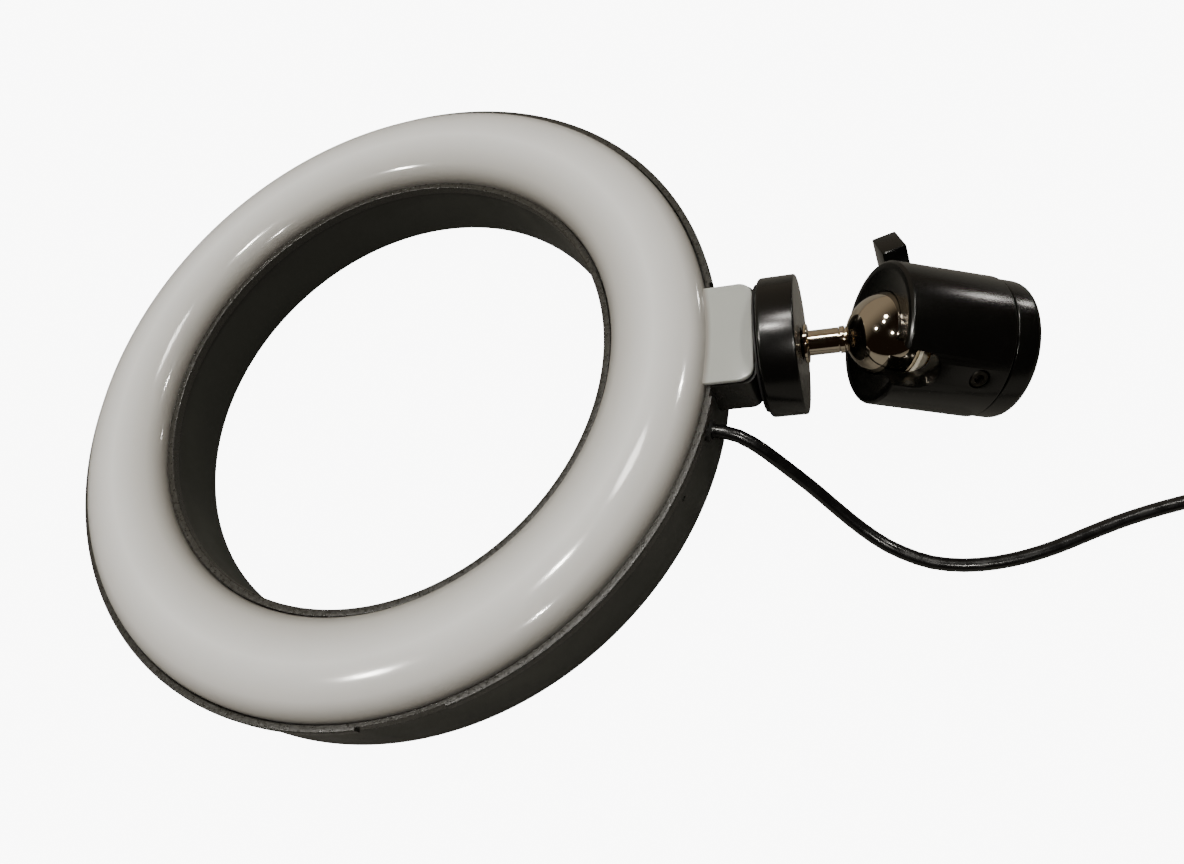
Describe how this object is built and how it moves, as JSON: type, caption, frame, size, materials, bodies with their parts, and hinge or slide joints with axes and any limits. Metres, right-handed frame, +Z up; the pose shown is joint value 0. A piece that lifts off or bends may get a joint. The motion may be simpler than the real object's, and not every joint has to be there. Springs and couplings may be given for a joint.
{
  "type": "ring light",
  "caption": "Ring light with an opal diffuser on a shallow dark housing, a nickel ball stem with a lock disc, a mini ball head with a clamp lever, and a USB cable with inline control.",
  "frame": {"origin": "the centre of the object's box without its cords, at the level of the table it lies on", "axes": "+Z up, +X from the ring towards the ball head, +Y across the ring; the ring's back is tilted 3.6 degrees up towards +X"},
  "size_m": [0.3157, 0.1971, 0.0377],
  "materials": {
    "opal_acrylic": "glossy opal diffuser, grey-white unlit",
    "housing_abs": "satin moulded plastic, near-black with an olive cast, fine spark-eroded rim",
    "circuit_board": "white solder mask with small packages",
    "zinc_steel": "zinc-plated steel",
    "brass": "turned brass",
    "rubber": "black rubber",
    "nickel_plate": "polished nickel plate",
    "nylon": "natural nylon",
    "black_anodised": "satin black anodised",
    "cable_pvc": "smooth black jacket",
    "black_plastic": "black moulded plastic",
    "button_rubber": "grey silicone"
  },
  "bodies": {
    "root": {"back_shell": "housing_abs", "diffuser": "opal_acrylic", "led_board": "circuit_board", "board_screw_1": "zinc_steel", "board_screw_2": "zinc_steel", "board_screw_3": "zinc_steel", "board_screw_4": "zinc_steel", "mount_insert": "brass", "cable_grommet": "rubber", "board_lead": "rubber", "ball_stem": "nickel_plate", "disc_washer": "rubber", "cable_lead": "cable_pvc", "cable_coil": "cable_pvc", "coil_tie": "black_plastic", "cable_link": "cable_pvc", "control_relief_in": "rubber", "control_base": "black_plastic", "control_cover": "black_plastic", "control_board": "circuit_board", "control_screw_1": "zinc_steel", "control_screw_2": "zinc_steel", "control_relief_out": "rubber", "cable_tail": "cable_pvc", "plug_relief": "rubber", "plug_grip": "black_plastic", "plug_shell": "zinc_steel", "plug_tongue": "black_plastic"},
    "neck": {"neck_ring": "nickel_plate"},
    "cup": {"friction_cup": "nylon"},
    "head": {"head_housing": "black_anodised", "pressure_block": "brass", "clamp_pusher": "zinc_steel", "grub_screw": "zinc_steel", "base_cap": "black_anodised", "tripod_socket": "brass"},
    "clamp": {"clamp_screw": "zinc_steel", "clamp_lever": "black_anodised"},
    "disc": {"lock_disc": "black_anodised"},
    "power": {"button_power": "button_rubber"},
    "colour": {"button_colour": "button_rubber"},
    "brighter": {"button_brighter": "button_rubber"},
    "dimmer": {"button_dimmer": "button_rubber"}
  },
  "joints": [
    {"name": "swivel", "type": "hinge", "parent": "root", "child": "neck", "pos_m": [0.0827, 0, 0.02354], "axis": [0.998, 0, 0.0635], "continuous": true},
    {"name": "tilt", "type": "hinge", "parent": "neck", "child": "cup", "pos_m": [0.0827, 0, 0.02354], "axis": [-0.0036, 0.9984, 0.0565], "range_deg": [-78.4, 17.6]},
    {"name": "pan", "type": "hinge", "parent": "cup", "child": "head", "pos_m": [0.0827, 0, 0.02354], "axis": [0.8932, 0.0286, -0.4487], "continuous": true},
    {"name": "clamp_turn", "type": "hinge", "parent": "head", "child": "clamp", "pos_m": [0.08771, 0.01321, 0.01252], "axis": [-0.2496, 0.8616, -0.4419], "range_deg": [0, 240]},
    {"name": "lock_turn", "type": "hinge", "parent": "root", "child": "disc", "pos_m": [0.06154, 0, 0.0222], "axis": [0.998, 0, 0.0635], "range_deg": [0, 113]},
    {"name": "power_press", "type": "slide", "parent": "root", "child": "power", "axis": [0, 0, -1], "range_m": [0, 0.0004], "stiffness_N_per_m": 1500},
    {"name": "colour_press", "type": "slide", "parent": "root", "child": "colour", "axis": [0, 0, -1], "range_m": [0, 0.0004], "stiffness_N_per_m": 1500},
    {"name": "brighter_press", "type": "slide", "parent": "root", "child": "brighter", "axis": [0, 0, -1], "range_m": [0, 0.0004], "stiffness_N_per_m": 1500},
    {"name": "dimmer_press", "type": "slide", "parent": "root", "child": "dimmer", "axis": [0, 0, -1], "range_m": [0, 0.0004], "stiffness_N_per_m": 1500}
  ]
}
